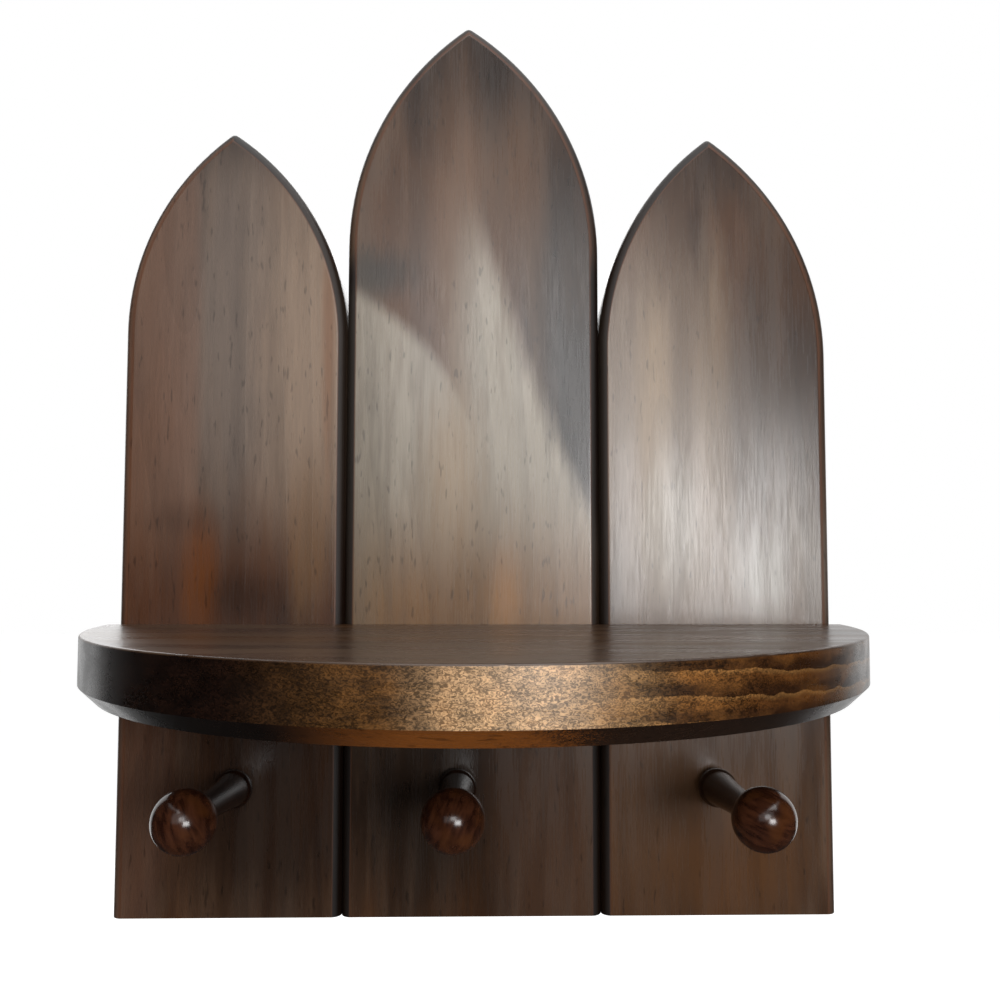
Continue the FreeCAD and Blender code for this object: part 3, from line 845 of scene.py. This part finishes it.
# The threaded share of the length. The thread's depth and pitch and the tip's length go by
# the diameter, the shank's size by the radius, and a ridge's places by the pitch.
THREAD_SHARE = 0.62
THREAD_DEPTH = 0.16
THREAD_PITCH = 0.42
TIP_LENGTH = 1.2
SHANK_SIZE = 0.9
RIDGE_START = 0.44
RIDGE_TOP_START = 0.50
RIDGE_TOP_END = 0.62
RIDGE_TOP_END_SIZE = 0.97
RIDGE_END = 0.68
# The cross recess goes by the head's diameter, and its floor is smaller by the taper.
RECESS_REACH = 0.30
RECESS_WIDTH = 0.115
RECESS_DEPTH = 0.34
RECESS_TAPER = 0.45


def cross_bit(reach, width, depth):
    """The driver's tapered cross, to be cut out of a head whose top is at the origin."""
    wings = []
    for turn in (0, math.pi / 2):
        clear_selection()
        bpy.ops.mesh.primitive_cube_add(size=1, rotation=(0, 0, turn))
        bpy.context.object.scale = (2 * reach, 2 * width, 2 * depth)
        wing = open_piece("wing")
        pick(wing, "VERT", lambda co: co.z > 0)
        bpy.ops.transform.resize(value=(RECESS_TAPER, RECESS_TAPER, 1), center_override=(0, 0, depth))
        bpy.ops.object.mode_set(mode="OBJECT")
        wings.append(wing)
    first, second = wings
    apply_modifier(first, "BOOLEAN", operation="UNION", solver="EXACT", object=second)
    bpy.data.objects.remove(second)
    return first


def wood_screw(name, length, diameter, head_diameter):
    """One screw along +Z with its head's flat top at the origin. Its thread is drawn as rings."""
    radius = diameter / 2 - SCREW_GAP
    head = head_diameter / 2 - SCREW_GAP
    core = radius * (1 - THREAD_DEPTH * 2)
    pitch = diameter * THREAD_PITCH
    thread_start = length * (1 - THREAD_SHARE)
    tip_start = length - diameter * TIP_LENGTH
    outline = [(0, 0), (0, head - HEAD_EDGE), (HEAD_EDGE / 2, head), (HEAD_EDGE, head),
               (HEAD_EDGE + head - radius, radius), (thread_start, radius * SHANK_SIZE)]
    along = thread_start + pitch / 2
    while along < tip_start:
        outline += [(along, core), (along + pitch * RIDGE_START, core),
                    (along + pitch * RIDGE_TOP_START, radius),
                    (along + pitch * RIDGE_TOP_END, radius * RIDGE_TOP_END_SIZE),
                    (along + pitch * RIDGE_END, core)]
        along += pitch
    outline += [(tip_start + pitch / 2, core), (length - SCREW_GAP, 0)]
    screw = turned_piece(name, outline, SCREW_SIDES)
    bit = cross_bit(head_diameter * RECESS_REACH, head_diameter * RECESS_WIDTH / 2,
                    head_diameter * RECESS_DEPTH)
    cut_away(screw, bit)
    return screw


HANGER_SCREW_PLACES = [(x, z) for x in (-0.0840, 0.0840) for z in (-0.0126, 0.0126)]
HANGER_SCREW_LENGTH = 0.0088
HANGER_SCREW_DIAMETER = 0.0026
BATTEN_SCREW_HEAD = 0.0068
SHELF_SCREW_HEAD = 0.0082
HANGER_SCREW_HEAD = 0.0050
yellow_zinc = zinc_plate("yellow_zinc_plated_steel", "#c3a35f", "#8c7440", 5.0)
SCREWS = [
    ("batten_screws", BATTEN_SCREW_PLACES, BATTEN_SCREW_LENGTH,
     BATTEN_SCREW_DIAMETER, BATTEN_SCREW_HEAD, yellow_zinc),
    ("shelf_screws", SHELF_SCREW_PLACES, SHELF_SCREW_LENGTH,
     SHELF_SCREW_DIAMETER, SHELF_SCREW_HEAD, yellow_zinc),
    ("hanger_screws", HANGER_SCREW_PLACES, HANGER_SCREW_LENGTH,
     HANGER_SCREW_DIAMETER, HANGER_SCREW_HEAD, bright_zinc),
]
for node, places, length, diameter, head_diameter, metal in SCREWS:
    low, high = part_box(node)
    model = wood_screw("screw_model", length, diameter, head_diameter)
    smooth(model)
    copies = [placed_copy(model, node + "_modelled", Vector((x, high.y - SCREW_GAP, z)), INTO_BOARD)
              for x, z in places]
    bpy.data.objects.remove(model)
    clear_selection()
    for copy in copies:
        copy.select_set(True)
    screws = copies[0]
    bpy.context.view_layer.objects.active = screws
    bpy.ops.object.join()
    screws.data.materials.append(metal)
    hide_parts(node)
    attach(screws, "root")

# Studio
# The camera stands where the photo was taken from. A plain pale floor lies well below the
# shelf, the surround is white, and soft lamps give the varnish its sheen.
CAMERA_PLACE = (0.00085, -0.3679, -0.0643)
CAMERA_YAW = 0.0204
CAMERA_PITCH = 0.0601
CAMERA_ROLL = 0.0013
FOCAL_PIXELS = 973.5
PHOTO_PIXELS = 1000
SENSOR_WIDTH = 36.0
CLIP_START = 0.01
camera_data = bpy.data.cameras.new("photo_camera")
camera = bpy.data.objects.new("photo_camera", camera_data)
bpy.context.scene.collection.objects.link(camera)
bpy.context.scene.camera = camera
camera_data.sensor_width = SENSOR_WIDTH
camera_data.lens = FOCAL_PIXELS * SENSOR_WIDTH / PHOTO_PIXELS
camera_data.clip_start = CLIP_START
ahead = Vector((math.sin(CAMERA_YAW) * math.cos(CAMERA_PITCH),
                math.cos(CAMERA_YAW) * math.cos(CAMERA_PITCH), math.sin(CAMERA_PITCH)))
across = Vector((math.cos(CAMERA_YAW), -math.sin(CAMERA_YAW), 0))
upward = across.cross(ahead)
camera_right = math.cos(CAMERA_ROLL) * across + math.sin(CAMERA_ROLL) * upward
camera_up = math.cos(CAMERA_ROLL) * upward - math.sin(CAMERA_ROLL) * across
turn = Matrix((camera_right, camera_up, -ahead)).transposed()
camera.matrix_world = Matrix.Translation(CAMERA_PLACE) @ turn.to_4x4()


def seen_directly(tree):
    """One for camera, glossy and transmission rays, which show the background, and else nought."""
    seen = add(tree, "LightPath", output="Is Camera Ray")
    for ray in ("Is Glossy Ray", "Is Transmission Ray"):
        seen = add(tree, "Math", (seen, add(tree, "LightPath", output=ray)), operation="MAXIMUM")
    return seen


FLOOR_LEVEL = -0.55
FLOOR_SIZE = 12
FLOOR_GLOW = 0.92
WHITE = (1, 1, 1, 1)
clear_selection()
bpy.ops.mesh.primitive_plane_add(size=FLOOR_SIZE, location=(0, 0, FLOOR_LEVEL))
floor = bpy.context.object
floor.name = "floor"
# Pale matt paint, which also glows where it is seen directly, so that the ground is white
paint, tree, shader = new_material("pale_matt_floor")
shader.inputs["Base Color"].default_value = linear("#b8b8b8")
shader.inputs["Roughness"].default_value = 1.0
shader.inputs["Emission Color"].default_value = WHITE
tree.links.new(strength(tree, seen_directly(tree), FLOOR_GLOW), shader.inputs["Emission Strength"])
floor.data.materials.append(paint)

FILL_STRENGTH = 0.06
world = bpy.data.worlds.new("white_studio")
bpy.context.scene.world = world
world.use_nodes = True
tree = world.node_tree
fill = add(tree, "Background", {"Color": WHITE, "Strength": FILL_STRENGTH})
shown = add(tree, "Background", {"Color": WHITE, "Strength": 1.0})
surround = add(tree, "MixShader", (seen_directly(tree), fill, shown))
tree.links.new(surround, tree.nodes["World Output"].inputs["Surface"])
bpy.context.scene.view_settings.view_transform = "Standard"


def softbox(name, place, target, width, height, brightness):
    """A soft lamp that faces a target. Its brightness is what a mirror would show of it, white being 1."""
    data = bpy.data.lights.new(name, "AREA")
    data.shape = "RECTANGLE"
    data.size = width
    data.size_y = height
    data.energy = brightness * math.pi * width * height
    lamp = bpy.data.objects.new(name, data)
    bpy.context.scene.collection.objects.link(lamp)
    lamp.location = place
    lamp.rotation_euler = (Vector(target) - Vector(place)).to_track_quat("-Z", "Y").to_euler()
    lamp.visible_camera = False


SHELF_MIDDLE = (0, -0.03, -0.03)
softbox("right_window", (0.28, -0.90, -0.03), SHELF_MIDDLE, 0.30, 0.22, 15)
softbox("middle_window", (0.05, -0.93, 0.22), SHELF_MIDDLE, 0.30, 0.24, 5)
softbox("pale_wall", (-0.05, -1.00, 0.30), SHELF_MIDDLE, 1.0, 0.6, 0.8)
softbox("ceiling_softbox", (0.20, -0.75, 1.30), SHELF_MIDDLE, 1.5, 1.1, 3.5)
softbox("back_softbox", (-0.35, 1.50, 0.75), (0, 0, 0), 1.4, 1.0, 3.0)

# A dark curtain stands round the camera's side. The camera doesn't see it, but the varnish does.
CURTAIN_RADIUS = 1.5
CURTAIN_HEIGHT = 2.0
CURTAIN_END = 0.7
CURTAIN_SIDES = 96
CURTAIN_GAP = 0.001
clear_selection()
bpy.ops.mesh.primitive_cylinder_add(vertices=CURTAIN_SIDES, radius=CURTAIN_RADIUS, depth=CURTAIN_HEIGHT,
                                    location=(0, 0, FLOOR_LEVEL + CURTAIN_HEIGHT / 2 + CURTAIN_GAP))
curtain = open_piece("dark_curtain")
pick(curtain, "FACE", lambda co: co.z > FLOOR_LEVEL + CURTAIN_HEIGHT / 2)
bpy.ops.mesh.delete(type="FACE")
bpy.ops.mesh.select_all(action="SELECT")
bpy.ops.mesh.bisect(plane_co=(0, CURTAIN_END, 0), plane_no=(0, 1, 0), clear_outer=True)
bpy.ops.object.mode_set(mode="OBJECT")
# Black felt, which the varnish mirrors as near black
felt, _, shader = new_material("black_felt_curtain")
shader.inputs["Base Color"].default_value = linear("#141414")
shader.inputs["Roughness"].default_value = 1.0
curtain.data.materials.append(felt)
curtain.visible_camera = False
curtain.visible_diffuse = False
curtain.visible_shadow = False
